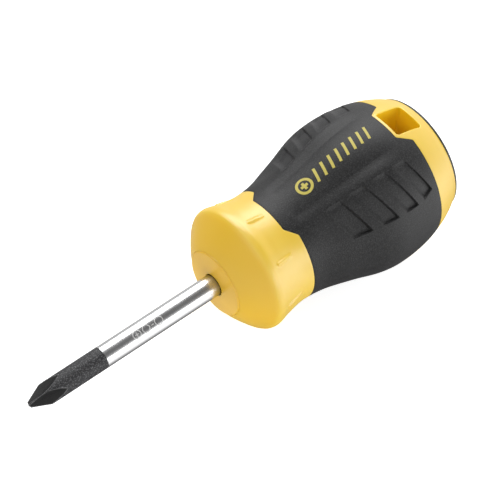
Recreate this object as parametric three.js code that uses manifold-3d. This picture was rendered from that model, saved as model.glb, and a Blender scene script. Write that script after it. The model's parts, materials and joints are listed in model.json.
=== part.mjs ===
// Stubby cross-head screwdriver: a short plated blade in a three-shot moulded handle.
//
// Each piece is drawn along the tool's own axis. +X runs from the tip to the butt, x = 0 is the
// nose face of the handle, and +Z points out of the label panel. The whole tool is then laid
// down as it rests on a bench, on its collar and its bulb with the tip a little low.
// Units are millimetres.
import * as THREE from 'three';
import { mergeVertices } from 'three/addons/utils/BufferGeometryUtils.js';
import Module from 'manifold-3d';

const wasm = await Module();
wasm.setup();

const { degToRad, lerp, radToDeg, smoothstep } = THREE.MathUtils;
const fitGap = 0.3; // left between neighbouring pieces
const clearOfHandle = 20; // a radius outside every part of the handle

// Blade: a 4.5 mm bar with a size 1 cross tip.
const bladeRadius = 2.25;
const bladeReach = 44.3; // from the nose face to the end of the tip
const bladeInset = 36; // held inside the handle
const tipFlatRadius = 0.62;
const tipHalfAngle = degToRad(23.5);
const fluteHalfAngle = degToRad(60);
// Each flute's root, as [distance from the end of the tip, radius]: shallow, then running out.
const fluteRoot = [[0, 0.36], [3.6, 0.78], [7.5, 2.25]];
const wingTurn = degToRad(20); // of the tip's wings, from the label direction
const keyStart = 24; // two fins pressed out of the bar, which stop it turning in the handle
const keyLength = 9;
const keyHalfWidth = 3.3;
const keyThickness = 1.8;

// First shot: the core, with the round boss that shows at the nose.
const bossRadius = 7.1;
const bossLength = 3.7;
const coreRadius = 5.5;
const coreLobeHeight = 0.5;
const coreLobes = 6;
const coreLength = 38;

// Outside of the handle: [distance behind the nose face, radius].
const coneStations = [[0.55, 7.4], [1.4, 8.85], [2.8, 10.45], [4.0, 11.8]];
const handleStations = [
  [5.0, 12.95], [6.4, 13.25], [9.0, 12.6], [13.5, 11.95], [19.0, 12.45], [25.0, 14.0],
  [31.0, 15.85], [36.5, 16.55], [42.0, 16.1], [46.5, 14.9], [49.5, 13.6], [51.1, 12.6],
];
const pointsPerStation = 2;
const aroundHandle = 60; // facets round the visible surfaces
const aroundInside = 36; // facets round the hidden ones

// Collar ribs.
const ribCount = 8;
const ribCentre = 9.7;
const ribLength = 4.3;
const ribRadius = 0.42;
const ribStandOff = 12.45;

// Third shot: the soft grip.
const gripFront = 15;
const gripRear = 45;
const gripThickness = 2.2;
const frontTongue = { end: 12.9, endHalfWidth: 4.6, baseHalfWidth: 6.7 };
const rearNotch = { end: 42, endHalfWidth: 3.5, baseHalfWidth: 5.4 };

// Shoulders of the grip: fuller at the tool's sides than over the finger windows.
const sideFullness = 0.3;
const shoulderFlatness = 0.25;
const shoulderFades = [[17, 22], [32, 38]];

// Label panels on opposite sides of the grip: each is a pillow between two creases, in degrees.
const creaseAngle = 18;
const creaseRise = 12;
const creaseDepths = [0.25, 0.52]; // in front and behind
const panelDeepens = [20, 31];
const panelStart = 16.3;
const panelFade = [35, 42];

// Finger windows: four slanted recesses on each shoulder of each panel.
const windowStarts = [21.4, 26.5, 31.5, 36.5];
const windowLength = 3.6;
const windowSlants = [[2.6, 3.2], [3.8, 3.8], [4.2, 3.8], [4.0, 3.2]]; // of front and rear
const windowHalfWidth = 4.2;
const windowDepth = 0.55;
const windowTurn = degToRad(44.3);

// Hang hole, straight through the butt from label side to label side.
const holeCentre = 45.95;
const holeSize = 6.4;
const holeCornerRadius = 0.6;

// End cap: a low dome over the whole butt, with a spigot into the body.
const capStart = 51.4;
const capEnd = 52.9;
const capRadius = 12.55;
const capEdge = 0.35;
const spigotRadius = 8;
const spigotLength = 0.9;

// The handle tips over a point between its collar and its bulb.
const waist = 20;

// ---- Geometry helpers ----

// Revolves [x, radius] points about the tool's axis.
function turned(profile, segments = aroundHandle) {
  const points = profile.map(([x, radius]) => new THREE.Vector2(radius, x));
  return new THREE.LatheGeometry(points, segments).rotateZ(-Math.PI / 2);
}

// Extrudes an outline of [x, y] points along Z, from one height to another.
function prism(outline, low, high) {
  const shape = new THREE.Shape(outline.map(([x, y]) => new THREE.Vector2(x, y)));
  const options = { depth: high - low, bevelEnabled: false, curveSegments: 6 };
  return new THREE.ExtrudeGeometry(shape, options).translate(0, 0, low);
}

// Welds a closed geometry into a solid for booleans.
function solid(geometry) {
  const bare = geometry.clone();
  bare.deleteAttribute('normal');
  bare.deleteAttribute('uv');
  const welded = mergeVertices(bare, 1e-4);
  const index = welded.index.array;
  const triangles = [];
  for (let i = 0; i < index.length; i += 3) {
    const [a, b, c] = [index[i], index[i + 1], index[i + 2]];
    if (a !== b && b !== c && c !== a) triangles.push(a, b, c);
  }
  return new wasm.Manifold(new wasm.Mesh({
    numProp: 3,
    vertProperties: new Float32Array(welded.attributes.position.array),
    triVerts: new Uint32Array(triangles),
  }));
}

function piece(name, manifold, finish) {
  const { vertProperties, triVerts } = manifold.getMesh();
  const geometry = new THREE.BufferGeometry();
  geometry.setAttribute('position', new THREE.BufferAttribute(vertProperties, 3));
  geometry.setIndex(new THREE.BufferAttribute(triVerts, 1));
  geometry.computeVertexNormals();
  const mesh = new THREE.Mesh(geometry, new THREE.MeshStandardMaterial(finish));
  mesh.name = name;
  return mesh;
}

// ---- Handle outline ----

const handleCurve = new THREE.SplineCurve(handleStations.map(([x, r]) => new THREE.Vector2(x, r)));
const handlePoints = handleCurve.getPoints((handleStations.length - 1) * pointsPerStation);

// The inside of the handle's outline, drawn in by a depth all round.
function envelope(depth, segments = aroundInside) {
  const profile = handlePoints.map((point) => [point.x, point.y - depth]);
  return solid(turned([[profile[0][0], 0], ...profile, [profile.at(-1)[0], 0]], segments));
}

// What the grip's shape adds to the round outline, at an angle in degrees from a label direction.
function gripRelief(x, turn) {
  const [fadeIn, fadeOut] = shoulderFades;
  const flat = Math.exp(-(((turn - 46) / 11) ** 2));
  const shoulder = (sideFullness * smoothstep(turn, 52, 72) - shoulderFlatness * flat)
    * smoothstep(x, ...fadeIn) * (1 - smoothstep(x, ...fadeOut));
  if (x < panelStart) return shoulder;
  const depth = lerp(...creaseDepths, smoothstep(x, ...panelDeepens));
  const fall = Math.min(turn / creaseAngle, 1) ** 2;
  const rise = 1 - smoothstep(turn, creaseAngle, creaseAngle + creaseRise);
  return shoulder - depth * fall * rise * (1 - smoothstep(x, ...panelFade));
}

// The full outside, with its front cone and with the grip's relief.
function outside() {
  const profile = [...coneStations, ...handlePoints.map((point) => [point.x, point.y])];
  const geometry = turned([[profile[0][0], 0], ...profile, [profile.at(-1)[0], 0]]);
  const position = geometry.attributes.position;
  for (let i = 0; i < position.count; i++) {
    const [x, y, z] = [position.getX(i), position.getY(i), position.getZ(i)];
    const radius = Math.hypot(y, z);
    if (radius < waist / 2) continue;
    const turn = radToDeg(Math.asin(Math.abs(y) / radius));
    const scale = 1 + gripRelief(x, turn) / radius;
    position.setXYZ(i, x, y * scale, z * scale);
  }
  return solid(geometry);
}

// The band that the grip fills, grown by an extra amount on every side. In front it reaches
// forward under each label panel, and behind it steps back round the hang hole.
function gripBand(extra) {
  const [front, rear] = [gripFront - extra, gripRear + extra];
  const ring = turned([[front, 0], [front, clearOfHandle], [rear, clearOfHandle], [rear, 0]]);
  const tongue = trapezoid(frontTongue.end - extra, frontTongue.endHalfWidth + extra,
    front, frontTongue.baseHalfWidth + extra, front + 1);
  const notch = trapezoid(rearNotch.end + extra, rearNotch.endHalfWidth - extra,
    rear, rearNotch.baseHalfWidth - extra, rear + 1);
  return solid(ring).add(tongue).subtract(notch);
}

// A flared block through the whole handle: narrow at one x, wide from another x on.
function trapezoid(narrowX, narrowHalf, wideX, wideHalf, lastX) {
  const half = [[narrowX, narrowHalf], [wideX, wideHalf], [lastX, wideHalf]];
  const mirrored = half.map(([x, y]) => [x, -y]).reverse();
  return solid(prism([...mirrored, ...half], -clearOfHandle, clearOfHandle));
}

// ---- Blade ----

// The fins' outline, grown by an extra amount.
function keyBlock(extra) {
  const half = keyHalfWidth + extra;
  const [start, end] = [keyStart - extra, keyStart + keyLength + extra];
  const slope = keyHalfWidth - bladeRadius / 2;
  const outline = [[start, 0], [start + slope, -half], [end - slope, -half],
    [end, 0], [end - slope, half], [start + slope, half]];
  return solid(prism(outline, -keyThickness / 2 - extra, keyThickness / 2 + extra));
}

function blade() {
  const coneLength = (bladeRadius - tipFlatRadius) / Math.tan(tipHalfAngle);
  const bar = solid(turned([
    [-bladeReach, 0], [-bladeReach, tipFlatRadius], [-bladeReach + coneLength, bladeRadius],
    [bladeInset - 0.5, bladeRadius], [bladeInset, bladeRadius - 0.5], [bladeInset, 0],
  ], aroundInside));
  let tipped = bar.add(keyBlock(0));
  for (let quarter = 0; quarter < 4; quarter++) {
    const turn = wingTurn + degToRad(45 + 90 * quarter);
    const [shallow, runOut] = [0, 1].map((leg) => veeCut(fluteRoot[leg], fluteRoot[leg + 1], turn));
    tipped = tipped.subtract(shallow.intersect(runOut));
  }
  return tipped;
}

// A straight V cut across the tip, whose root runs through two [distance from the end, radius].
function veeCut([startX, startRadius], [endX, endRadius], turn) {
  const halfWidth = 3 * Math.tan(fluteHalfAngle);
  const vee = new THREE.Shape([[0, 0], [halfWidth, 3], [-halfWidth, 3]]
    .map(([x, y]) => new THREE.Vector2(x, y)));
  const cut = new THREE.ExtrudeGeometry(vee, { depth: 20, bevelEnabled: false });
  const rise = Math.atan2(endRadius - startRadius, endX - startX);
  cut.translate(0, 0, -6).rotateX(-rise).translate(0, startRadius, startX);
  return solid(cut.rotateY(Math.PI / 2).translate(-bladeReach, 0, 0).rotateX(turn));
}

// ---- Handle ----

// The keyed bar of the core, grown by an extra amount: six low lobes grip the body round it.
function keyedBar(extra) {
  const outline = [];
  for (let step = 0; step < 72; step++) {
    const angle = degToRad(step * 5);
    const radius = coreRadius + extra + (coreLobeHeight * (1 + Math.cos(coreLobes * angle))) / 2;
    outline.push([radius * Math.cos(angle), radius * Math.sin(angle)]);
  }
  const geometry = prism(outline, bossLength - 0.5 + extra, coreLength + extra);
  return solid(geometry.rotateY(Math.PI / 2));
}

function handleCore() {
  const boss = turned([[0, 0], [0, bossRadius], [bossLength, bossRadius], [bossLength, 0]],
    aroundInside);
  const bore = turned([[-1, 0], [-1, bladeRadius + fitGap],
    [bladeInset + fitGap, bladeRadius + fitGap], [bladeInset + fitGap, 0]], aroundInside);
  return solid(boss).add(keyedBar(0)).subtract(solid(bore)).subtract(keyBlock(fitGap));
}

function collarRibs() {
  const slope = Math.atan2(0.8, ribLength);
  const ribs = [];
  for (let i = 0; i < ribCount; i++) {
    const rib = new THREE.CapsuleGeometry(ribRadius, ribLength - 2 * ribRadius, 3, 10);
    rib.rotateZ(-Math.PI / 2).rotateY(slope).translate(ribCentre, 0, ribStandOff);
    ribs.push(solid(rib.rotateX((i * 2 * Math.PI) / ribCount)));
  }
  return wasm.Manifold.union(ribs);
}

function hangHole() {
  const half = holeSize / 2;
  const inner = half - holeCornerRadius;
  const shape = new THREE.Shape();
  shape.absarc(inner, inner, holeCornerRadius, 0, Math.PI / 2);
  shape.absarc(-inner, inner, holeCornerRadius, Math.PI / 2, Math.PI);
  shape.absarc(-inner, -inner, holeCornerRadius, Math.PI, 1.5 * Math.PI);
  shape.absarc(inner, -inner, holeCornerRadius, 1.5 * Math.PI, 2 * Math.PI);
  const options = { depth: 2 * clearOfHandle, bevelEnabled: false, curveSegments: 4 };
  return solid(new THREE.ExtrudeGeometry(shape, options).translate(holeCentre, 0, -clearOfHandle));
}

function handleBody() {
  const seat = gripBand(fitGap).subtract(envelope(gripThickness + fitGap));
  const bossBore = turned([[-1, 0], [-1, bossRadius + fitGap],
    [bossLength + fitGap, bossRadius + fitGap], [bossLength + fitGap, 0]], aroundInside);
  const socketFloor = capStart - spigotLength - fitGap;
  const socket = turned([[socketFloor, 0], [socketFloor, spigotRadius + fitGap],
    [capEnd, spigotRadius + fitGap], [capEnd, 0]], aroundInside);
  return outside().add(collarRibs()).subtract(seat).subtract(solid(bossBore))
    .subtract(keyedBar(fitGap)).subtract(hangHole()).subtract(solid(socket));
}

function fingerWindows() {
  const windows = [];
  for (const side of [1, -1]) {
    for (const label of [0, Math.PI]) {
      windowStarts.forEach((start, i) => {
        const end = start + windowLength;
        const [frontSlant, rearSlant] = windowSlants[i];
        const corners = [[start, -1], [end, -1], [end + rearSlant, 1], [start + frontSlant, 1]];
        const outline = corners.map(([x, across]) => [x, across * side * windowHalfWidth]);
        const block = prism(outline, waist / 2, clearOfHandle);
        windows.push(solid(block.rotateX(label - side * windowTurn)));
      });
    }
  }
  return wasm.Manifold.union(windows).subtract(envelope(windowDepth, aroundHandle));
}

function softGrip() {
  return outside().intersect(gripBand(0)).subtract(envelope(gripThickness))
    .subtract(fingerWindows());
}

function endCap() {
  const [start, domeStart] = [capStart - spigotLength, capStart + capEdge];
  const dome = new THREE.CubicBezierCurve(
    new THREE.Vector2(domeStart, capRadius), new THREE.Vector2(domeStart + 0.4, capRadius - 0.5),
    new THREE.Vector2(capEnd - 0.1, capRadius - 3), new THREE.Vector2(capEnd, 0),
  );
  const spigot = [[start, 0], [start, spigotRadius], [capStart, spigotRadius]];
  const skirt = [capStart, capRadius];
  return solid(turned([...spigot, skirt, ...dome.getPoints(6).map((point) => [point.x, point.y])]));
}

// ---- Assembly ----

// The tip-down tilt at which the lowest points of the collar and of the bulb are level.
function restingTilt(meshes) {
  const lead = (tilt) => {
    let [collar, bulb] = [Infinity, Infinity];
    for (const { geometry: { attributes: { position } } } of meshes) {
      for (let i = 0; i < position.count; i++) {
        const x = position.getX(i);
        const height = x * Math.sin(tilt) + position.getZ(i) * Math.cos(tilt);
        if (x < waist) collar = Math.min(collar, height);
        else bulb = Math.min(bulb, height);
      }
    }
    return collar - bulb;
  };
  let [low, high] = [0, degToRad(20)];
  for (let step = 0; step < 40; step++) {
    const middle = (low + high) / 2;
    if (lead(middle) > 0) low = middle;
    else high = middle;
  }
  return low;
}

const steel = { color: 0xc8cacc, roughness: 0.22, metalness: 1 };
const coreYellow = { color: 0xe0a92b, roughness: 0.45, metalness: 0 };
const bodyYellow = { color: 0xe6b02e, roughness: 0.42, metalness: 0 };
const gripBlack = { color: 0x2b2b2d, roughness: 0.72, metalness: 0 };
const capBlack = { color: 0x1f1f21, roughness: 0.5, metalness: 0 };

const body = piece('handle_body', handleBody(), bodyYellow);
const grip = piece('soft_grip', softGrip(), gripBlack);
const screwdriver = new THREE.Group();
screwdriver.add(
  piece('blade', blade(), steel),
  piece('handle_core', handleCore(), coreYellow),
  body,
  grip,
  piece('end_cap', endCap(), capBlack),
);

screwdriver.rotation.y = -restingTilt([body, grip]);
screwdriver.updateMatrixWorld(true);
const bounds = new THREE.Box3().setFromObject(screwdriver, true);
const middle = bounds.getCenter(new THREE.Vector3());
screwdriver.position.set(-middle.x, -middle.y, -bounds.min.z);

export default screwdriver;
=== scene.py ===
"""Stubby cross-head screwdriver: the plated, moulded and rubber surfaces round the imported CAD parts.

Places on the tool are given as x, the distance in millimetres behind the nose face of the handle,
a radius in millimetres from the tool's own axis, and an angle in degrees round it from the label.
"""

import json
import math

import bmesh
import bpy
import numpy as np
from mathutils import Matrix, Vector


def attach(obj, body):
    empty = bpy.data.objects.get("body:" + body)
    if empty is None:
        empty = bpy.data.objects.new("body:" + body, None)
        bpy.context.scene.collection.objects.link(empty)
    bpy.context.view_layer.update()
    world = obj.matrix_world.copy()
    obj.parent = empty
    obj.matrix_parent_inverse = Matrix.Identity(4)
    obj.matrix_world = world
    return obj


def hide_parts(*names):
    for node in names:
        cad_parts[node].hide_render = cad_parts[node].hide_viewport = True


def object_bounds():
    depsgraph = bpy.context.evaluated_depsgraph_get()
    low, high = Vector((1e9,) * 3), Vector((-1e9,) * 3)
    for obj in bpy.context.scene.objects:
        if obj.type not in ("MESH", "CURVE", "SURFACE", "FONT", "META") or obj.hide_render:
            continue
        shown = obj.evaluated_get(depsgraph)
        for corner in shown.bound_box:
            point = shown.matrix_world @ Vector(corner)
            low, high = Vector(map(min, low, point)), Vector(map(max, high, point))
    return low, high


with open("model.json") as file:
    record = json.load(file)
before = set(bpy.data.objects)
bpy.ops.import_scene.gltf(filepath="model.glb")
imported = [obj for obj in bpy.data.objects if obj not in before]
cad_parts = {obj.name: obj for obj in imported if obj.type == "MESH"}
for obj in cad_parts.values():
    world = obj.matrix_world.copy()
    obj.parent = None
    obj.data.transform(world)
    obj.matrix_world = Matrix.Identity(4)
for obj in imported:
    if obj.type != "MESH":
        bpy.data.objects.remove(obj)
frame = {"record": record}
cad_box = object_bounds()

MM = 0.001

# Blade
BAR_RADIUS = 2.25
BAR_INSET = 36.0
TIP_FLAT_RADIUS = 0.62
TIP_HALF_ANGLE = 23.5
FLUTE_ROOT_RADIUS = 0.36
FLUTE_LENGTH = 7.5
FLUTE_HALF_ANGLE = 60.0
EDGE_WEAR = 0.05
WING_TURN = 20.0
BLACK_TIP_LENGTH = 16.9
BOSS_SHADE_LENGTH = 2.0  # of the plating in front of the boss that is darkened as painted shade
FIN_START, FIN_LENGTH, FIN_RAMP = 24.0, 9.0, 2.0
FIN_HALF_WIDTH, FIN_HALF_THICKNESS = 3.3, 0.9

# Core, whose boss shows at the nose
BOSS_RADIUS = 7.1
BOSS_LENGTH = 3.7
BOSS_CROWN = 0.3
BOSS_EDGE = 0.35
BLADE_GAP, BLADE_GAP_DEPTH = 0.15, 1.3  # round the bar where it enters the boss
CORE_RADIUS, CORE_LENGTH = 5.5, 38.0
CORE_LOBES, CORE_LOBE = 6, 0.5
FIT = 0.03  # between pieces moulded onto each other

# Outside of the handle, [x, radius]
CONE = [[0.3, 7.16], [1.4, 8.9], [2.8, 10.7], [4.2, 12.3], [5.1, 13.0]]
CONE_SHADE_FADE = (4.5, 5.4)  # where the cone's darker, warmer yellow, painted as shade, gives way to the collar's
RIM = [[5.1, 13.0], [5.35, 13.1], [5.8, 13.2], [6.4, 13.22]]
RIM_END = RIM[-1][0]
HANDLE = [
    [5.0, 12.95], [6.4, 13.22], [9.0, 12.6], [13.5, 11.95], [19.0, 12.45], [25.0, 14.0],
    [31.0, 15.85], [36.5, 16.55], [42.0, 16.1], [46.5, 14.9], [49.5, 13.6], [51.1, 12.6],
]

# Collar ribs
RIB_COUNT = 8
RIB_START, RIB_END = 7.5, 11.8
RIB_HALF_WIDTH = 0.5
RIB_HEIGHT = 0.28
RIB_FLANK = (0.3, 1.2)  # in half widths off its middle line, where a rib starts to fall and where it ends
RIB_LOWERING = 0.6  # the share of its height that a rib has lost at its tail
RIB_TAIL = 0.5  # over which a rib ends

# Soft grip
GRIP_FRONT, GRIP_REAR = 15.0, 45.0
GRIP_THICKNESS = 2.2
TONGUE_END, TONGUE_CORNERS = 12.9, (22.0, 33.5)  # where it reaches forward at the labels
NOTCH_END, NOTCH_CORNERS = 42.0, (12.7, 20.0)  # where it is cut back in front of the hang hole
SEAM_ROUND = 0.09

# Shoulders of the grip, fuller at the tool's sides than over the finger windows
SIDE_FULLNESS, SIDE_RISE = 0.27, (52.0, 72.0)
SHOULDER_FLATNESS, SHOULDER_MIDDLE, SHOULDER_SPREAD = 0.25, 46.0, 11.0
SHOULDER_FADES = (17.0, 22.0), (32.0, 38.0)

# Label panels: a pillow between two creases, from which the grip rises to its shoulders
CREASE_ANGLE, CREASE_RISE = 17.5, 10.0
CREASE_DEPTHS = (0.25, 0.52)  # in front and behind
PANEL_START, PANEL_RAMP = 16.3, 0.8
PANEL_DEEPENS = (20.0, 31.0)
PANEL_FADE = (35.0, 42.0)

# Finger windows
WINDOW_STARTS = [21.4, 26.5, 31.5, 36.5]
WINDOW_LENGTH = 3.6
WINDOW_SLANTS = [(2.6, 3.2), (3.8, 3.8), (4.2, 3.8), (4.0, 3.2)]  # of each one's front and rear
WINDOW_ANGLES = (27.5, 61.0)
WINDOW_DEPTHS = (0.32, 0.82)  # at the label end and at the outer end
WINDOW_WALL, WINDOW_WALL_ANGLE = 0.13, 0.35  # how far the steep walls lean, each way
WINDOW_SHALLOWER = (25.0, 42.0), (1.0, 0.7)  # places along the grip and the share of the depth at each
WINDOW_RAMP = 3.2  # degrees, at the label end
WINDOW_FAR_RAMP = 9.0  # degrees, at the outer end on one shoulder of each panel, where it runs out gently
WINDOW_FRONT_RAMP = 1.4
WINDOW_PULL = 3.5  # degrees by which the rearmost one's outer end is cut back at its rear
PULL_SPREAD = (35.0, 85.0)  # the angles between which the grip's rings bend for that

# Hang hole
HOLE_CENTRE = 45.95
HOLE_HALF = 3.2
HOLE_CORNER = 0.6
HOLE_LIP = 0.3
HOLE_MOUTH = 0.5  # how much wider than the lip the cut starts, above the surface

# End cap
CAP_START, CAP_END = 51.4, 52.82
CAP_RADIUS = 12.47
CAP_EDGE = 0.35
CAP_BEVEL, CAP_TAPER = 0.08, 0.05
DOME_POWER = 2.2  # 2 would make the dome an ellipse, and more is flatter in the middle
SPIGOT_RADIUS, SPIGOT_LENGTH = 8.0, 0.9
BUTT_BEVEL = 0.12  # of the body's edge against the cap
CENTRE_RADIUS = 0.5  # of the ring round the middle of a flat end

# Printed sign on the label panel: a cross in a ring, and slanted bars behind it
SIGN_CENTRE, SIGN_RADIUS = (21.8, 0.1), 1.5
SIGN_BARS, SIGN_BAR_START, SIGN_BAR_STEP = 8, 24.9, 1.85
SIGN_BAR_HALF_LENGTH, SIGN_BAR_HALF_SLANT = 1.5, 0.45
SIGN_LINE, SIGN_DRIFT = (21.0, 0.05), 0.03  # a place on the bars' middle line, and its fall along the tool
PRINT_WIDTH, PRINT_HEIGHT = 0.55, 0.03

# Signs etched on the bar
ETCHING_ANGLE = 29.0
ETCHING_RADIUS = 0.85
ETCHED_CROSS, ETCHED_HEXAGON, ETCHED_DASH, ETCHED_CIRCLE = -19.8, -17.6, (-16.4, -15.8), -14.6
ETCHING_WIDTH, ETCHING_HEIGHT = 0.18, 0.012

SHARP_ANGLE = 40.0  # degrees between faces from which an edge stays sharp

# How the tool lies to the camera
AXIS_TILT = 24.18  # degrees that the butt leans away from it
AXIS_SLANT = 33.05  # degrees that the tool climbs to its right
LABEL_TURN = 60.7  # degrees from the upper outline round to the label
CAMERA_OFFSET = (6.79, 6.51, 478.6)  # millimetres right, up and back from the nose face
LENS, SENSOR = 180.0, 36.0
FLOOR_DROP = 0.03  # millimetres below rest level, as the collar's rim reaches just under its CAD solid


# ---- The tool's own frame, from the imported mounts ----

mounts = {mount["name"]: mount for mount in frame["record"]["mounts"]}
tip_point = Vector(mounts["driving_tip"]["pos_m"])
AXIS = -Vector(mounts["driving_tip"]["axis"]).normalized()
SIDE = Vector((0, -1, 0))
LABEL = SIDE.cross(AXIS).normalized()
BLADE_REACH = (Vector(mounts["nose_face"]["pos_m"]) - tip_point).dot(AXIS) / MM
NOSE = tip_point + AXIS * BLADE_REACH * MM


def on_tool(x, radius, angle):
    """Points in the row frame, in metres, for arrays of x, radius and angle."""
    x, radius, angle = np.broadcast_arrays(*(np.asarray(v, float) for v in (x, radius, angle)))
    turn = np.radians(angle)[..., None]
    out = radius[..., None] * (np.cos(turn) * np.array(LABEL) + np.sin(turn) * np.array(SIDE))
    return np.array(NOSE) + MM * (x[..., None] * np.array(AXIS) + out)


# ---- Outlines ----

def through(stations, steps=24):
    """A smooth Catmull-Rom line through [x, radius] stations, as arrays of x and radius."""
    points = np.array([stations[0], *stations, stations[-1]], float)
    t = np.linspace(0, 1, steps, endpoint=False)[:, None]
    parts = []
    for a, b, c, d in zip(points, points[1:], points[2:], points[3:]):
        bend = (2 * a - 5 * b + 4 * c - d) * t**2 + (3 * b - a - 3 * c + d) * t**3
        parts.append(0.5 * (2 * b + (c - a) * t + bend))
    return np.concatenate([*parts, points[-1:]]).T


HANDLE_LINE = through(HANDLE)


def handle_radius(x):
    return np.interp(x, *HANDLE_LINE)


def smooth(value, low, high):
    t = np.clip((value - low) / (high - low), 0, 1)
    return t * t * (3 - 2 * t)


def from_label(angle):
    """Degrees from the nearer of the two label directions, from 0 to 90."""
    turn = np.abs((np.asarray(angle, float) + 180) % 360 - 180)
    return np.minimum(turn, 180 - turn)


def stepped(turn, corners, near, far, corner_round=1.0):
    """near up to the first corner, far past the second, with slightly rounded corners."""
    offsets = np.linspace(-corner_round, corner_round, 5)
    return sum(np.interp(turn + o, corners, (near, far)) for o in offsets) / len(offsets)


def grip_front(turn):
    return stepped(turn, TONGUE_CORNERS, TONGUE_END, GRIP_FRONT)


def grip_rear(turn):
    return stepped(turn, NOTCH_CORNERS, NOTCH_END, GRIP_REAR, 0.6)


def clustered(start, end, step, marks, offsets):
    """Even steps from start to end, with closer ones round each mark."""
    close = {round(m + s * o, 4) for m in marks for o in offsets for s in (-1, 1)}
    close = np.array(sorted(v for v in close if start <= v <= end))
    even = [v for v in np.arange(start, end + step / 2, step) if np.abs(close - v).min() > step / 3]
    return np.sort(np.concatenate([even, close]))


def all_round(turns):
    """The angles all round the tool that lie these many degrees from a label direction."""
    return [a for turn in turns for a in (turn, 180 - turn, 180 + turn, 360 - turn)]


# ---- Meshes ----

def ring_faces(count, around, closed):
    faces = []
    for i in range(count if closed else count - 1):
        here, there = i * around, (i + 1) % count * around
        for j in range(around):
            k = (j + 1) % around
            faces.append((here + j, here + k, there + k, there + j))
    return faces


def mesh_piece(name, points, faces, *materials):
    mesh = bpy.data.meshes.new(name)
    mesh.from_pydata(np.asarray(points).tolist(), [], faces)
    for material in materials:
        mesh.materials.append(material)
    return finish_mesh(name, mesh)


def shade(mesh):
    mesh.shade_smooth()
    mesh.set_sharp_from_angle(angle=math.radians(SHARP_ANGLE))


def finish_mesh(name, mesh):
    """Turns the mesh's faces outwards and puts it in the scene."""
    work = bmesh.new()
    work.from_mesh(mesh)
    bmesh.ops.recalc_face_normals(work, faces=work.faces)
    work.to_mesh(mesh)
    work.free()
    shade(mesh)
    piece = bpy.data.objects.new(name, mesh)
    bpy.context.scene.collection.objects.link(piece)
    return piece


def ring_piece(name, rings, *materials, closed=False):
    """A piece skinned through rings of points. closed joins the last ring to the first, as on a
    sleeve. Otherwise each end is filled round a point at its middle."""
    count, around = rings.shape[:2]
    points = rings.reshape(-1, 3)
    faces = ring_faces(count, around, closed)
    if not closed:
        points = np.concatenate([points, rings[:1].mean(1), rings[-1:].mean(1)])
        for first, middle in ((0, count * around), ((count - 1) * around, count * around + 1)):
            faces += [(first + j, first + (j + 1) % around, middle) for j in range(around)]
    return mesh_piece(name, points, faces, *materials)


def belongs(piece, slot, *nodes):
    """Attaches a piece to the root body and hides the CAD nodes that it takes the place of. slot is not
    used.
    """
    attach(piece, "root")
    if nodes:
        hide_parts(*nodes)


# ---- Blade ----

def fin_radius(x, angle):
    """The bar's radius where its two fins are pressed out, towards both sides of the tool."""
    off_side = np.radians(90 - from_label(angle))
    fin_end = FIN_START + FIN_LENGTH
    places = [FIN_START, FIN_START + FIN_RAMP, fin_end - FIN_RAMP, fin_end]
    width = np.interp(x, places, [0, FIN_HALF_WIDTH, FIN_HALF_WIDTH, 0])
    flat = np.minimum(width / np.cos(off_side), FIN_HALF_THICKNESS / np.maximum(np.sin(off_side), 1e-3))
    return np.maximum(BAR_RADIUS, flat)


def tip_radius(x, angle):
    """The bar's radius at its ground point, with four flutes between the wings, and how deep they
    are: negative outside them."""
    back = x + BLADE_REACH
    cone = np.minimum(BAR_RADIUS, TIP_FLAT_RADIUS + back * math.tan(math.radians(TIP_HALF_ANGLE)))
    root = FLUTE_ROOT_RADIUS + (BAR_RADIUS - FLUTE_ROOT_RADIUS) * (back / FLUTE_LENGTH) ** 2
    half = math.radians(FLUTE_HALF_ANGLE)
    off_flute = np.abs(np.radians((angle - WING_TURN) % 90 - 45))
    flute = root * math.sin(half) / np.sin(half - off_flute)
    radius = -EDGE_WEAR * np.log(np.exp(-cone / EDGE_WEAR) + np.exp(-flute / EDGE_WEAR))
    return radius, cone - flute


def make_blade(plated, blackened):
    angles = np.arange(0, 360, 1.25)
    black_end = BLACK_TIP_LENGTH - BLADE_REACH
    point = np.arange(0, FLUTE_LENGTH + 0.3, 0.1) - BLADE_REACH
    black = np.linspace(point[-1], black_end, 30)[1:]
    bar = np.linspace(black_end, 1.0, 24)[1:]
    inside = np.arange(2.0, BAR_INSET + 0.1, 0.5)
    x = np.concatenate([point, black, bar, inside])[:, None]
    ground_radius, fluting = tip_radius(x, angles)
    radius = np.where(x < FIN_START - 1, ground_radius, fin_radius(x, angles))
    blade = ring_piece("blade_bar", on_tool(x, radius, angles), plated, blackened)
    depths = blade.data.attributes.new("fluting", "FLOAT", "POINT")
    depths.data.foreach_set("value", [*fluting.ravel(), 0, 0])
    black_rings = len(point) + len(black) - 1
    tip_fan = len(blade.data.polygons) - 2 * len(angles)
    for polygon in blade.data.polygons:
        in_tip = polygon.index < black_rings * len(angles)
        polygon.material_index = int(in_tip or tip_fan <= polygon.index < tip_fan + len(angles))
    return blade


# ---- Handle ----

def core_radius(angle):
    return CORE_RADIUS + CORE_LOBE * (1 + np.cos(CORE_LOBES * np.radians(angle))) / 2


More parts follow.
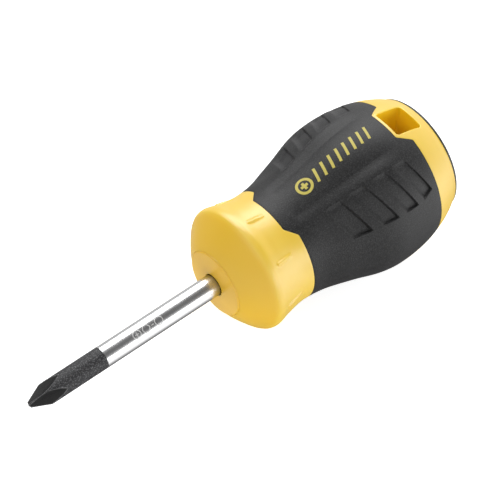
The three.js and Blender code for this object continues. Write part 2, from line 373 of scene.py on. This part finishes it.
def make_core(material):
    """A sleeve on the bar: its domed boss in front, and the lobed bar that the body is moulded on."""
    angles = np.arange(0, 360, 1.5)
    face = np.linspace(BAR_RADIUS + BLADE_GAP, BOSS_RADIUS - BOSS_EDGE, 9)
    crown = -BOSS_CROWN * (1 - (face / (BOSS_RADIUS - BOSS_EDGE)) ** 2)
    bend = np.radians([15, 30, 45, 60, 75, 90])
    edge_x = BOSS_EDGE * (1 - np.cos(bend))
    edge_radius = BOSS_RADIUS - BOSS_EDGE * (1 - np.sin(bend))
    rows = [(BLADE_GAP_DEPTH, BAR_RADIUS + FIT), (BLADE_GAP_DEPTH, BAR_RADIUS + BLADE_GAP)]
    rows += zip([*crown, *edge_x], [*face, *edge_radius])
    rows += [(BOSS_LENGTH, BOSS_RADIUS), (BOSS_LENGTH, core_radius(angles))]
    rows += [(CORE_LENGTH, core_radius(angles))]
    rows += [(x, fin_radius(x, angles) + FIT) for x in np.arange(BAR_INSET, FIN_START - 1, -0.5)]
    rings = np.array([on_tool(x, radius, angles) for x, radius in rows])
    return ring_piece("core_boss", rings, material, closed=True)


def rib_height(x, angle):
    """How far the collar's ribs stand out: a round nose end, fading towards the neck."""
    spacing = 360 / RIB_COUNT
    turn = np.abs((angle + spacing / 2) % spacing - spacing / 2)
    across = turn * math.pi / 180 * handle_radius(x)
    nose_gap = np.maximum(RIB_START + RIB_HALF_WIDTH - x, 0)
    off = np.hypot(across, nose_gap) / RIB_HALF_WIDTH
    bar = 1 - smooth(off, *RIB_FLANK)
    lower = 1 - RIB_LOWERING * smooth(x, RIB_START + 1, RIB_END)
    fade = 1 - smooth(x, RIB_END - RIB_TAIL, RIB_END)
    return RIB_HEIGHT * bar * lower * fade


def body_rows(angles):
    """[x, radius] of the body's rings, from the bottom of its bore out and back to its butt."""
    turn = from_label(angles)
    front, rear = grip_front(turn), grip_rear(turn)
    under = GRIP_THICKNESS + FIT
    bore = core_radius(angles) + FIT
    rows = [(CORE_LENGTH + FIT, bore), (BOSS_LENGTH + FIT, bore)]
    rows += [(BOSS_LENGTH + FIT, BOSS_RADIUS + FIT), (CONE[0][0] + 2 * FIT, BOSS_RADIUS + FIT)]
    rows += zip(*through(CONE, 6))
    rows += list(zip(*through(RIM, 4)))[1:]
    # Closer rings near the ribs' two ends
    for share in clustered(0, 1, 0.04, [0.13, 0.6], [0, 0.015, 0.03, 0.045])[1:]:
        x = RIM_END + share * (front - SEAM_ROUND - RIM_END)
        rows.append((x, handle_radius(x) + rib_height(x, angles)))
    rows += [(front - 0.3 * SEAM_ROUND, handle_radius(front) - 0.3 * SEAM_ROUND)]
    rows += [(front - FIT / 2, handle_radius(front) - SEAM_ROUND)]
    rows += [(front - FIT / 2, handle_radius(front) - under)]
    for share in np.linspace(0.02, 0.98, 24):
        x = front + share * (rear - front)
        rows.append((x, handle_radius(x) - under))
    rows += [(rear + FIT / 2, handle_radius(rear) - under)]
    rows += [(rear + FIT / 2, handle_radius(rear) - SEAM_ROUND)]
    rows += [(rear + 0.3 * SEAM_ROUND, handle_radius(rear) - 0.3 * SEAM_ROUND)]
    butt_end = CAP_START - BUTT_BEVEL
    for share in np.linspace(0, 1, 28):
        x = rear + SEAM_ROUND + share * (butt_end - rear - SEAM_ROUND)
        rows.append((x, handle_radius(x)))
    socket, socket_end = SPIGOT_RADIUS + FIT, CAP_START - SPIGOT_LENGTH - FIT
    rows += [(CAP_START - FIT, handle_radius(butt_end) - BUTT_BEVEL), (CAP_START - FIT, socket)]
    rows += [(socket_end, socket), (socket_end, CENTRE_RADIUS)]
    return rows


def rounded_square(outset, per_corner=10, per_side=14):
    """[x, across] points round the hang hole, moved outwards by outset."""
    inner, radius = HOLE_HALF - HOLE_CORNER, HOLE_CORNER + outset
    points = []
    for quarter, (sx, sy) in enumerate([(1, 1), (-1, 1), (-1, -1), (1, -1)]):
        bend = np.radians(90 * quarter + np.linspace(0, 90, per_corner))
        arc = np.stack([sx * inner + radius * np.cos(bend), sy * inner + radius * np.sin(bend)], 1)
        points.append(arc)
        start, (nx, ny) = arc[-1], [(-1, 1), (-1, -1), (1, -1), (1, 1)][quarter]
        turn = np.radians(90 * (quarter + 1))
        stop = np.array([nx * inner + radius * np.cos(turn), ny * inner + radius * np.sin(turn)])
        points.append(start + (stop - start) * np.linspace(0, 1, per_side)[1:-1, None])
    return np.concatenate(points) + [HOLE_CENTRE, 0]


def hole_ring(outset, depth):
    """A ring of the hang hole's wall, at a depth below the handle's surface, on the label side."""
    x, across = rounded_square(outset).T
    height = np.sqrt(handle_radius(x) ** 2 - across**2) - depth
    return x, across, height


def cut_hang_hole(body, material):
    """Takes a straight square hole with rounded lips out of the butt. Its walls take the material, which is
    painted light: a lighter copy of the body's yellow.
    """
    mouth = HOLE_LIP + HOLE_MOUTH
    # Outset and depth, from above the surface down to where the straight walls begin
    levels = [(mouth, -2.0), (mouth, -0.2)]
    for bend in np.radians([14, 28, 42, 56, 73, 90]):
        levels.append((HOLE_LIP * (1 - math.sin(bend)), HOLE_LIP * (1 - math.cos(bend))))
    top = [hole_ring(outset, depth) for outset, depth in levels]
    rings = top + [(x, across, -height) for x, across, height in reversed(top)]
    rings = [on_tool(x, np.hypot(across, height), np.degrees(np.arctan2(across, height)))
             for x, across, height in rings]
    cutter = ring_piece("hole_cutter", np.array(rings), material)
    cut = body.modifiers.new("hang_hole", "BOOLEAN")
    cut.operation, cut.solver, cut.object = "DIFFERENCE", "EXACT", cutter
    cut.material_mode = "TRANSFER"
    shape = bpy.data.meshes.new_from_object(body.evaluated_get(bpy.context.evaluated_depsgraph_get()))
    body.modifiers.clear()
    body.data = shape
    bpy.data.objects.remove(cutter)
    shade(shape)


def make_body(material, lit_hole_material):
    """The yellow shell: bore, nose cone, collar, the part under the grip, and the butt."""
    rib_angles = [i * 360 / RIB_COUNT for i in range(RIB_COUNT + 1)]
    marks = rib_angles + all_round([*TONGUE_CORNERS, *NOTCH_CORNERS])
    angles = clustered(0, 358.5, 1.5, marks, [0, 0.4, 0.8, 1.2, 1.6, 2.1])
    rings = np.array([on_tool(x, radius, angles) for x, radius in body_rows(angles)])
    body = ring_piece("body_shell", rings, material)
    cut_hang_hole(body, lit_hole_material)
    return body


def window_edges():
    """Each window's front and rear at its label end, and how far they slant to its outer end."""
    fronts = [(start, slants[0]) for start, slants in zip(WINDOW_STARTS, WINDOW_SLANTS)]
    rears = [(start + WINDOW_LENGTH, slants[1]) for start, slants in zip(WINDOW_STARTS, WINDOW_SLANTS)]
    return sorted(fronts + rears)


def window_depth(base_x, angle):
    """Depth of the finger windows, for an x from which their slant has been taken."""
    turn = from_label(angle)
    low, high = WINDOW_ANGLES
    steep = np.sin(2 * np.radians(angle)) > 0
    outer_ramp = np.where(steep, WINDOW_WALL_ANGLE, WINDOW_FAR_RAMP)
    floor = np.interp(turn, WINDOW_ANGLES, WINDOW_DEPTHS) * np.interp(base_x, *WINDOW_SHALLOWER)
    outer_end = 1 - smooth(turn, high - outer_ramp, high + WINDOW_WALL_ANGLE)
    across = smooth(turn, low, low + WINDOW_RAMP) * outer_end
    along = 0
    for start in WINDOW_STARTS:
        end = start + WINDOW_LENGTH
        ramp = smooth(base_x, start, start + WINDOW_FRONT_RAMP)
        along = along + ramp * (1 - smooth(base_x, end - WINDOW_WALL, end + WINDOW_WALL))
    return floor * across * along


def shoulder(x, turn):
    """What the grip's shoulders add to the round outline."""
    fade_in, fade_out = SHOULDER_FADES
    flat = SHOULDER_FLATNESS * np.exp(-((turn - SHOULDER_MIDDLE) / SHOULDER_SPREAD) ** 2)
    shape = SIDE_FULLNESS * smooth(turn, *SIDE_RISE) - flat
    return shape * smooth(x, *fade_in) * (1 - smooth(x, *fade_out))


def panel_depth(x, turn):
    """How far the label panel falls to its creases."""
    fall = np.clip(turn / CREASE_ANGLE, 0, 1) ** 2
    rise = 1 - smooth(turn, CREASE_ANGLE, CREASE_ANGLE + CREASE_RISE)
    along = smooth(x, PANEL_START, PANEL_START + PANEL_RAMP) * (1 - smooth(x, *PANEL_FADE))
    depth = CREASE_DEPTHS[0] + (CREASE_DEPTHS[1] - CREASE_DEPTHS[0]) * smooth(x, *PANEL_DEEPENS)
    return depth * fall * rise * along


def grip_radius(x, turn):
    return handle_radius(x) + shoulder(x, turn) - panel_depth(x, turn)


def grip_x(base_x, turn):
    """Slides a ring of the grip so that it follows the grip's two edges and the windows' slant."""
    edges, slants = (np.array(values) for values in zip(*window_edges()))
    places = [GRIP_FRONT, *edges, GRIP_REAR]
    shares = np.interp(turn, WINDOW_ANGLES, (0, 1))
    return np.array([
        np.interp(base_x, places, [front, *(edges + share * slants), rear])
        for front, rear, share in zip(grip_front(turn), grip_rear(turn), shares)
    ])


def pulled_back(base_x, angles):
    """A ring's angles, bent towards the label where the rearmost windows' outer ends are cut back."""
    low, high = PULL_SPREAD
    near_end = np.interp(from_label(angles), (low, WINDOW_ANGLES[1], high), (0, 1, 0))
    start = WINDOW_STARTS[-1]
    along = np.interp(base_x, (start, start + WINDOW_LENGTH, GRIP_REAR - 0.5), (0, 1, 0))
    return angles - WINDOW_PULL * near_end * along * np.sign(np.sin(2 * np.radians(angles)))


def make_grip(material):
    """The soft sleeve: its sculpted outside, a rounded seam at each end and a plain inside."""
    marks = all_round([CREASE_ANGLE, *TONGUE_CORNERS, *NOTCH_CORNERS, *WINDOW_ANGLES])
    angles = clustered(0, 358.2, 1.8, marks, [0, 0.25, 0.5, 0.9, 1.5])
    turn = from_label(angles)
    edges = [edge for edge, _ in window_edges()]
    outside = []
    for base_x in clustered(GRIP_FRONT, GRIP_REAR, 0.5, edges, [0, 0.06, 0.12, 0.25])[1:-1]:
        x, around = grip_x(base_x, turn), pulled_back(base_x, angles)
        radius = grip_radius(x, from_label(around)) - window_depth(base_x, angles)
        outside.append(on_tool(x, radius, around))
    front, rear = grip_front(turn), grip_rear(turn)
    seam = [(0, SEAM_ROUND), (0.3 * SEAM_ROUND, 0.3 * SEAM_ROUND), (SEAM_ROUND, 0)]
    front_seam = [on_tool(front + inward, handle_radius(front) - under, angles)
                  for inward, under in seam]
    rear_seam = [on_tool(rear - inward, handle_radius(rear) - under, angles)
                 for inward, under in reversed(seam)]
    places = [rear + share * (front - rear) for share in np.linspace(0, 1, 30)]
    inside = [on_tool(x, handle_radius(x) - GRIP_THICKNESS, angles) for x in places]
    rings = np.array(front_seam + outside + rear_seam + inside)
    return ring_piece("grip_sleeve", rings, material, closed=True)


def make_cap(material):
    """A low dome over the whole butt, on a spigot."""
    angles = np.arange(0, 360, 1.5)
    spigot_start, dome_start = CAP_START - SPIGOT_LENGTH, CAP_START + CAP_EDGE
    rows = [(spigot_start, CENTRE_RADIUS), (spigot_start, SPIGOT_RADIUS), (CAP_START, SPIGOT_RADIUS)]
    rows += [(CAP_START, CAP_RADIUS - CAP_BEVEL), (CAP_START + CAP_BEVEL, CAP_RADIUS)]
    rows += [(dome_start, CAP_RADIUS - CAP_TAPER)]
    for share in np.linspace(0.975, 0.04, 26):
        rise = math.sqrt(1 - share**DOME_POWER)
        rows.append((dome_start + (CAP_END - dome_start) * rise, CAP_RADIUS * share))
    rings = np.array([on_tool(x, radius, angles) for x, radius in rows])
    return ring_piece("cap_dome", rings, material)


# ---- Marks ----

def circle(centre, radius, steps=40):
    turn = np.linspace(0, 2 * math.pi, steps, endpoint=False)
    return np.stack([centre[0] + radius * np.cos(turn), centre[1] + radius * np.sin(turn)], 1)


def straight(start, stop, steps=8):
    start, stop = np.array(start), np.array(stop)
    return start + (stop - start) * np.linspace(0, 1, steps)[:, None]


def hexagon(centre, radius):
    corners = circle(centre, radius, 6)
    return np.concatenate([straight(a, b)[:-1] for a, b in zip(corners, np.roll(corners, -1, 0))])


def stroke_rings(line, width, closed):
    """Left and right edges of a stroke along a line of [x, across] points."""
    ahead = np.roll(line, -1, 0) if closed else np.vstack([line[1:], 2 * line[-1] - line[-2]])
    behind = np.roll(line, 1, 0) if closed else np.vstack([2 * line[0] - line[1], line[:-1]])
    along = ahead - behind
    normal = np.stack([-along[:, 1], along[:, 0]], 1) / np.linalg.norm(along, axis=1)[:, None]
    return line + normal * width / 2, line - normal * width / 2


def make_marks(name, lines, width, height, surface, material):
    """Thin raised strokes on a surface, which turns arrays of x, across and height into points."""
    points, faces = [], []
    for line, closed in lines:
        left, right = stroke_rings(line, width, closed)
        rings = np.stack([surface(*left.T, height), surface(*right.T, height),
                          surface(*right.T, -height), surface(*left.T, -height)], 1)
        base = len(points)
        points += rings.reshape(-1, 3).tolist()
        faces += [tuple(base + v for v in face) for face in ring_faces(len(rings), 4, closed)]
        if not closed:
            last = base + 4 * (len(rings) - 1)
            faces += [(base, base + 1, base + 2, base + 3), (last, last + 1, last + 2, last + 3)]
    return mesh_piece(name, points, faces, material)


def cross_symbol(centre, size):
    """A ring with a cross in it, the usual sign for a cross-head tip."""
    cx, cy = centre
    arm = 0.52 * size
    return [
        (circle(centre, size), True),
        (straight((cx - arm, cy), (cx + arm, cy)), False),
        (straight((cx, cy - arm), (cx, cy + arm)), False),
    ]


def label_point(x, across, height):
    angle = np.degrees(across / handle_radius(x))
    return on_tool(x, grip_radius(x, from_label(angle)) + height, angle)


def bar_point(x, across, height):
    return on_tool(x, BAR_RADIUS + height, ETCHING_ANGLE + np.degrees(across / BAR_RADIUS))


def make_label(material):
    """A printed tip sign with slanted bars behind it."""
    lines = cross_symbol(SIGN_CENTRE, SIGN_RADIUS)
    line_x, line_across = SIGN_LINE
    for i in range(SIGN_BARS):
        x = SIGN_BAR_START + SIGN_BAR_STEP * i
        middle = line_across - SIGN_DRIFT * (x - line_x)
        top = (x - SIGN_BAR_HALF_SLANT, middle + SIGN_BAR_HALF_LENGTH)
        bottom = (x + SIGN_BAR_HALF_SLANT, middle - SIGN_BAR_HALF_LENGTH)
        lines.append((straight(top, bottom), False))
    return make_marks("label_print", lines, PRINT_WIDTH, PRINT_HEIGHT, label_point, material)


def make_etching(material):
    """Small signs along the bar: a cross in a ring, a hexagon, a dash and a circle."""
    lines = cross_symbol((ETCHED_CROSS, 0), ETCHING_RADIUS)
    lines.append((hexagon((ETCHED_HEXAGON, 0), ETCHING_RADIUS), True))
    dash_start, dash_end = ETCHED_DASH
    lines.append((straight((dash_start, 0), (dash_end, 0)), False))
    lines.append((circle((ETCHED_CIRCLE, 0), ETCHING_RADIUS), True))
    return make_marks("blade_etching", lines, ETCHING_WIDTH, ETCHING_HEIGHT, bar_point, material)


# ---- Materials ----

def new_material(name, **values):
    material = bpy.data.materials.new(name)
    material.use_nodes = True
    shader = material.node_tree.nodes["Principled BSDF"]
    for socket, value in values.items():
        shader.inputs[socket.replace("_", " ")].default_value = value
    return material, material.node_tree, shader


def noise(tree, size, detail=2.0, stretch=None):
    """A noise with grains of that many millimetres. stretch scales it along the tool and across it."""
    coords = tree.nodes.new("ShaderNodeTexCoord")
    texture = tree.nodes.new("ShaderNodeTexNoise")
    texture.inputs["Scale"].default_value = 1 / (size * MM)
    texture.inputs["Detail"].default_value = detail
    source = coords.outputs["Object"]
    if stretch:
        mapping = tree.nodes.new("ShaderNodeMapping")
        mapping.inputs["Rotation"].default_value = (0, math.asin(AXIS.z), 0)
        mapping.inputs["Scale"].default_value = stretch
        tree.links.new(source, mapping.inputs["Vector"])
        source = mapping.outputs["Vector"]
    tree.links.new(source, texture.inputs["Vector"])
    return texture.outputs["Fac"]


def ranged(tree, source, low, high, from_low=0.3, from_high=0.7):
    """Carries a range of the source over to low and high. Noise mostly lies between 0.3 and 0.7."""
    node = tree.nodes.new("ShaderNodeMapRange")
    limits = {"From Min": from_low, "From Max": from_high, "To Min": low, "To Max": high}
    for socket, value in limits.items():
        node.inputs[socket].default_value = value
    tree.links.new(source, node.inputs["Value"])
    return node.outputs["Result"]


def put(tree, socket, value):
    """Sets a socket to a number or a colour, or links another socket to it."""
    if isinstance(value, bpy.types.NodeSocket):
        tree.links.new(value, socket)
    else:
        socket.default_value = value


def computed(tree, operation, *values):
    """What a Math node makes of sockets or numbers."""
    node = tree.nodes.new("ShaderNodeMath")
    node.operation = operation
    for socket, value in zip(node.inputs, values):
        put(tree, socket, value)
    return node.outputs["Value"]


def facing(tree, source, direction):
    """How far a vector socket reaches in a direction."""
    node = tree.nodes.new("ShaderNodeVectorMath")
    node.operation = "DOT_PRODUCT"
    node.inputs[1].default_value = direction
    tree.links.new(source, node.inputs[0])
    return node.outputs["Value"]


def blended(tree, share, first, second):
    """A colour between two, each a colour or a socket."""
    node = tree.nodes.new("ShaderNodeMix")
    node.data_type = "RGBA"
    tree.links.new(share, node.inputs[0])
    for socket, colour in ((node.inputs[6], first), (node.inputs[7], second)):
        put(tree, socket, (*colour, 1) if isinstance(colour, tuple) else colour)
    return node.outputs[2]


def bumped(tree, shader, layers):
    """Chains bumps onto the shader, each (height socket, strength, depth in millimetres)."""
    normal = None
    for height, strength, depth in layers:
        node = tree.nodes.new("ShaderNodeBump")
        node.inputs["Strength"].default_value = strength
        node.inputs["Distance"].default_value = depth * MM
        tree.links.new(height, node.inputs["Height"])
        if normal:
            tree.links.new(normal, node.inputs["Normal"])
        normal = node.outputs["Normal"]
    tree.links.new(normal, shader.inputs["Normal"])


def along_tool(tree, start, end):
    """0 up to one place along the tool and 1 past another, in millimetres behind the nose face."""
    coords = tree.nodes.new("ShaderNodeTexCoord")
    along = facing(tree, coords.outputs["Object"], AXIS)
    nose = NOSE.dot(AXIS)
    return ranged(tree, along, 0, 1, nose + start * MM, nose + end * MM)


def yellow_plastic(name, light, dark, cone=None):
    """Moulded yellow, mottled between two shades. The cone colour, if given, is painted shade: a darker,
    warmer yellow in front of the collar's rim.
    """
    material, tree, shader = new_material(
        name, Subsurface_Weight=0.12, Subsurface_Scale=0.8 * MM, Specular_IOR_Level=1.0, IOR=1.6)
    shader.inputs["Subsurface Radius"].default_value = (1.0, 0.6, 0.15)
    clouds = noise(tree, 9, 3)
    grain = noise(tree, 0.28, 2)
    base = blended(tree, ranged(tree, clouds, 0, 1), light, dark)
    # In front of the collar's rim the yellow turns darker and warmer: painted shade.
    if cone:
        base = blended(tree, along_tool(tree, *CONE_SHADE_FADE), cone, base)
    tree.links.new(base, shader.inputs["Base Color"])
    tree.links.new(ranged(tree, grain, 0.30, 0.38), shader.inputs["Roughness"])
    bumped(tree, shader, [(grain, 0.10, 0.02), (noise(tree, 3.5, 2), 0.15, 0.05)])
    return material


def grip_rubber():
    material, tree, shader = new_material("grip_rubber", Specular_IOR_Level=0.42)
    grain = noise(tree, 0.22, 3)
    clouds = noise(tree, 6, 3)
    base = blended(tree, ranged(tree, clouds, 0, 1), (0.010, 0.010, 0.0103), (0.015, 0.015, 0.0153))
    speckled = blended(tree, ranged(tree, grain, 0, 0.8, 0.45, 0.70), base, (0.050, 0.050, 0.051))
    tree.links.new(speckled, shader.inputs["Base Color"])
    tree.links.new(ranged(tree, grain, 0.42, 0.56), shader.inputs["Roughness"])
    bumped(tree, shader, [(grain, 0.8, 0.07), (clouds, 0.1, 0.1)])
    return material


def cap_plastic():
    material, tree, shader = new_material("cap_plastic", Specular_IOR_Level=0.5)
    grain = noise(tree, 0.3, 2)
    base = blended(tree, grain, (0.018, 0.018, 0.019), (0.034, 0.034, 0.035))
    tree.links.new(base, shader.inputs["Base Color"])
    tree.links.new(ranged(tree, grain, 0.42, 0.55), shader.inputs["Roughness"])
    bumped(tree, shader, [(grain, 0.2, 0.03)])
    return material


def plated_steel():
    material, tree, shader = new_material("plated_steel", Metallic=1.0)
    lines = noise(tree, 0.5, 3, (6, 0.5, 0.5))
    clouds = noise(tree, 4, 2)
    plate = blended(tree, lines, (0.80, 0.80, 0.81), (0.90, 0.90, 0.90))
    # The plating darkens to brown-grey in front of the boss: painted shade, with a painted dark reflection
    # of the boss.
    boss_shade = along_tool(tree, -BOSS_SHADE_LENGTH, 0)
    tree.links.new(blended(tree, boss_shade, plate, (0.138, 0.133, 0.123)), shader.inputs["Base Color"])
    tree.links.new(ranged(tree, clouds, 0.21, 0.26), shader.inputs["Roughness"])
    bumped(tree, shader, [(lines, 0.05, 0.01)])
    return material


def blackened_steel():
    """Speckled black, plain in the ground flutes, with a painted highlight along their edges."""
    material, tree, shader = new_material("blackened_steel", Metallic=0.35, Specular_IOR_Level=0.5)
    grain = noise(tree, 0.24, 4)
    pits = ranged(tree, grain, 0, 1, 0.5, 0.68)
    speckled = blended(tree, pits, (0.028, 0.028, 0.030), (0.16, 0.16, 0.165))
    fluting = tree.nodes.new("ShaderNodeAttribute")
    fluting.attribute_name = "fluting"
    ground = ranged(tree, fluting.outputs["Fac"], 0, 1, 0.02, 0.2)
    surface = blended(tree, ground, speckled, (0.024, 0.024, 0.024))
    # A paler grey along the flute edges is a painted highlight.
    edge_highlight = ranged(tree, computed(tree, "ABSOLUTE", fluting.outputs["Fac"]), 0.9, 0, 0, 0.09)
    highlight_grey = blended(tree, ranged(tree, noise(tree, 1.5, 3), 0, 1), (0.05, 0.05, 0.05), (0.42, 0.42, 0.42))
    tree.links.new(blended(tree, edge_highlight, surface, highlight_grey), shader.inputs["Base Color"])
    tree.links.new(ranged(tree, grain, 0.45, 0.62), shader.inputs["Roughness"])
    bumped(tree, shader, [(grain, 0.9, 0.10)])
    return material


def etched_steel():
    """Matt pale grey, as where the plating is burnt off."""
    material, tree, shader = new_material("etched_steel", Metallic=0.7)
    grain = noise(tree, 0.15, 2)
    base = blended(tree, grain, (0.66, 0.66, 0.66), (0.76, 0.76, 0.76))
    tree.links.new(base, shader.inputs["Base Color"])
    tree.links.new(ranged(tree, grain, 0.5, 0.6), shader.inputs["Roughness"])
    return material


def label_ink():
    material, tree, shader = new_material("label_ink", Specular_IOR_Level=0.4)
    grain = noise(tree, 0.25, 2)
    base = blended(tree, grain, (0.50, 0.42, 0.075), (0.66, 0.57, 0.13))
    tree.links.new(base, shader.inputs["Base Color"])
    tree.links.new(ranged(tree, grain, 0.4, 0.5), shader.inputs["Roughness"])
    bumped(tree, shader, [(grain, 0.2, 0.02)])
    return material


# ---- Camera, floor and light ----

def camera_axes():
    """The camera's right, up and back directions in the row frame."""
    tilt, slant, turn = (math.radians(v) for v in (AXIS_TILT, AXIS_SLANT, LABEL_TURN))
    axis = Vector((math.cos(tilt) * math.cos(slant), math.cos(tilt) * math.sin(slant), -math.sin(tilt)))
    upper = Vector((-math.sin(slant), math.cos(slant), 0))
    near = Vector((math.sin(tilt) * math.cos(slant), math.sin(tilt) * math.sin(slant), math.cos(tilt)))
    label = upper * math.cos(turn) + near * math.sin(turn)
    side = near * math.cos(turn) - upper * math.sin(turn)
    return [AXIS * axis[i] + LABEL * label[i] + SIDE * side[i] for i in range(3)]


def add_camera():
    axes = camera_axes()
    data = bpy.data.cameras.new("camera")
    data.lens, data.sensor_width = LENS, SENSOR
    camera = bpy.data.objects.new("camera", data)
    turn = Matrix(axes).transposed().to_4x4()
    place = NOSE + sum((axis * d * MM for axis, d in zip(axes, CAMERA_OFFSET)), Vector())
    camera.matrix_world = Matrix.Translation(place) @ turn
    bpy.context.scene.collection.objects.link(camera)
    bpy.context.scene.camera = camera


def add_softbox(name, direction, size, power, reflected=True, distance=0.5):
    data = bpy.data.lights.new(name, "AREA")
    data.shape, data.size, data.size_y, data.energy = "RECTANGLE", *size, power
    lamp = bpy.data.objects.new(name, data)
    centre = (cad_box[0] + cad_box[1]) / 2
    away = Vector(direction).normalized()
    lamp.location = centre + away * distance
    lamp.rotation_euler = away.to_track_quat("Z", "Y").to_euler()
    lamp.visible_glossy = reflected
    bpy.context.scene.collection.objects.link(lamp)


def add_world(strength, zones):
    """A white tent round the tool, with dimmer and brighter zones. Each zone is (direction, level,
    the cosine at which it ends, the cosine from which it has its full level)."""
    world = bpy.data.worlds.new("tent")
    bpy.context.scene.world = world
    world.use_nodes = True
    tree = world.node_tree
    background = tree.nodes["Background"]
    coords = tree.nodes.new("ShaderNodeTexCoord")
    shade_so_far = 1.0
    for direction, level, reach, full in zones:
        towards = facing(tree, coords.outputs["Generated"], Vector(direction).normalized())
        dimmed = ranged(tree, towards, 1.0, level, reach, full)
        shade_so_far = computed(tree, "MULTIPLY", dimmed, shade_so_far)
    background.inputs["Color"].default_value = (1, 1, 1, 1)
    total = computed(tree, "MULTIPLY", shade_so_far, strength)
    tree.links.new(total, background.inputs["Strength"])


def add_floor():
    """A white paper floor, which lights the tool from below but doesn't show in its reflections."""
    material, tree, shader = new_material("floor_paper", Specular_IOR_Level=0.1)
    tone = blended(tree, noise(tree, 30, 2), (0.74, 0.74, 0.74), (0.76, 0.76, 0.76))
    tree.links.new(tone, shader.inputs["Base Color"])
    shader.inputs["Roughness"].default_value = 0.9
    shader.inputs["Emission Color"].default_value = (1, 1, 1, 1)
    shader.inputs["Emission Strength"].default_value = 0.8
    mesh = bpy.data.meshes.new("floor")
    half, level = 3.0, -FLOOR_DROP * MM
    corners = [(-half, -half, level), (half, -half, level), (half, half, level), (-half, half, level)]
    mesh.from_pydata(corners, [], [(0, 1, 2, 3)])
    mesh.materials.append(material)
    floor = bpy.data.objects.new("floor", mesh)
    bpy.context.scene.collection.objects.link(floor)
    floor.visible_glossy = False


def light_the_studio():
    right, up, back = camera_axes()
    add_world(0.62, [
        (right * 0.58 + up * 0.47 + back * 0.66, 0.22, 0.66, 0.98),
        (right * 0.80 - up * 0.31 - back * 0.50, 2.0, 0.80, 0.93),
        (-right * 0.77 - up * 0.49 + back * 0.41, 0.4, 0.45, 0.90),
        (right * 0.77 + up * 0.49 - back * 0.41, 1.6, 0.50, 0.80),
        (right * 0.29 - up * 0.35 - back * 0.89, 0.25, 0.62, 0.93),
        (right * 0.90 - up * 0.38 + back * 0.22, 1.6, 0.85, 0.97),
        (-right * 0.10 - up * 0.97 - back * 0.14, 0.2, 0.60, 0.90),
        (-right * 0.90 + up * 0.30 - back * 0.25, 0.25, 0.60, 0.90),
    ])
    add_softbox("overhead", (0.35, 0.60, 0.72), (0.5, 0.4), 2.0)
    add_softbox("side", (0.42, -0.88, 0.22), (0.5, 0.25), 0.55)
    add_softbox("front", (-0.75, -0.10, 0.60), (0.4, 0.4), 0.6, reflected=False)
    bpy.context.scene.view_settings.view_transform = "Standard"


# ---- The tool ----

# The nose cone's darker, warmer yellow is painted shade.
CONE_SHADE_YELLOW = (0.82, 0.50, 0.014)
body_yellow = yellow_plastic("body_plastic", (0.88, 0.595, 0.052), (0.84, 0.565, 0.042), CONE_SHADE_YELLOW)
# The hang hole's walls get a lighter, more saturated copy of the body's yellow: painted light.
lit_hole_yellow = yellow_plastic("lit_hole_plastic", (0.97, 0.69, 0.022), (0.95, 0.66, 0.018))
core_yellow = yellow_plastic("core_plastic", (0.84, 0.50, 0.022), (0.80, 0.47, 0.018))

belongs(make_blade(plated_steel(), blackened_steel()), "blade_steel", "blade")
belongs(make_core(core_yellow), "core_plastic", "handle_core")
belongs(make_body(body_yellow, lit_hole_yellow), "body_plastic", "handle_body")
belongs(make_grip(grip_rubber()), "grip_rubber", "soft_grip")
belongs(make_cap(cap_plastic()), "cap_plastic", "end_cap")
belongs(make_label(label_ink()), "body_plastic")
belongs(make_etching(etched_steel()), "blade_steel")

add_camera()
add_floor()
light_the_studio()
